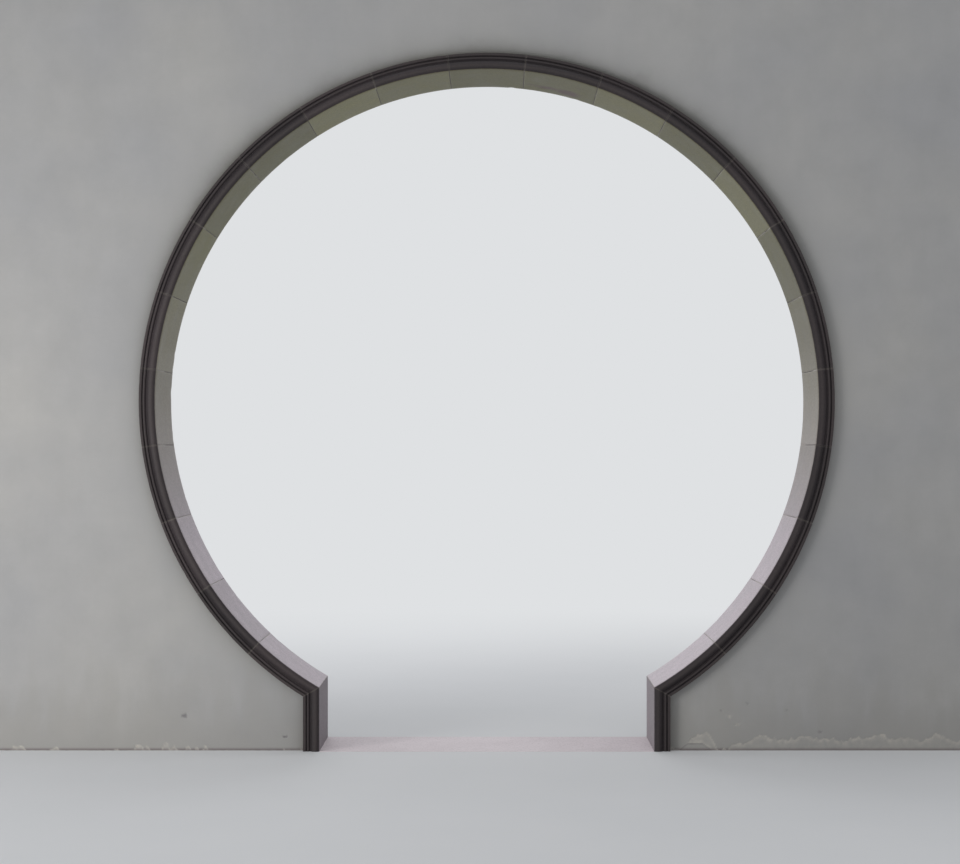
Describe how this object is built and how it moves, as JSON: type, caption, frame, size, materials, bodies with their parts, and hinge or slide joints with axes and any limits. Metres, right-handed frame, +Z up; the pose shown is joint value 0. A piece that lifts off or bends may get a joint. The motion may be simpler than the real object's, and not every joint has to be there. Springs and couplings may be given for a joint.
{
  "type": "moon gate",
  "caption": "Plastered garden wall pierced by a round walk-through opening with a moulded grey stone frame and a flush stone threshold.",
  "frame": {"origin": "on the bed that the masonry, jambs and threshold stand on, under the middle of the opening and midway through the wall", "axes": "+X along the wall to the right as seen from the front, +Y through the opening from front to back, +Z up"},
  "size_m": [3.7, 0.34, 2.89],
  "materials": {
    "brick_masonry": "rough",
    "lime_plaster": "matt",
    "grey_frame_stone": "rubbed",
    "lime_mortar": "matt",
    "threshold_stone": "honed"
  },
  "bodies": {
    "root": {"frame_mortar": "lime_mortar", "jamb_stone_left": "grey_frame_stone", "jamb_stone_right": "grey_frame_stone", "masonry_left": "brick_masonry", "masonry_over": "brick_masonry", "masonry_right": "brick_masonry", "plaster_back": "lime_plaster", "plaster_end_left": "lime_plaster", "plaster_end_right": "lime_plaster", "plaster_front": "lime_plaster", "plaster_top": "lime_plaster", "ring_stone_01": "grey_frame_stone", "ring_stone_02": "grey_frame_stone", "ring_stone_03": "grey_frame_stone", "ring_stone_04": "grey_frame_stone", "ring_stone_05": "grey_frame_stone", "ring_stone_06": "grey_frame_stone", "ring_stone_07": "grey_frame_stone", "ring_stone_08": "grey_frame_stone", "ring_stone_09": "grey_frame_stone", "ring_stone_10": "grey_frame_stone", "ring_stone_11": "grey_frame_stone", "ring_stone_12": "grey_frame_stone", "ring_stone_13": "grey_frame_stone", "ring_stone_14": "grey_frame_stone", "ring_stone_15": "grey_frame_stone", "ring_stone_16": "grey_frame_stone", "ring_stone_17": "grey_frame_stone", "ring_stone_18": "grey_frame_stone", "ring_stone_19": "grey_frame_stone", "ring_stone_20": "grey_frame_stone", "ring_stone_21": "grey_frame_stone", "ring_stone_22": "grey_frame_stone", "ring_stone_23": "grey_frame_stone", "threshold": "threshold_stone"}
  },
  "joints": []
}
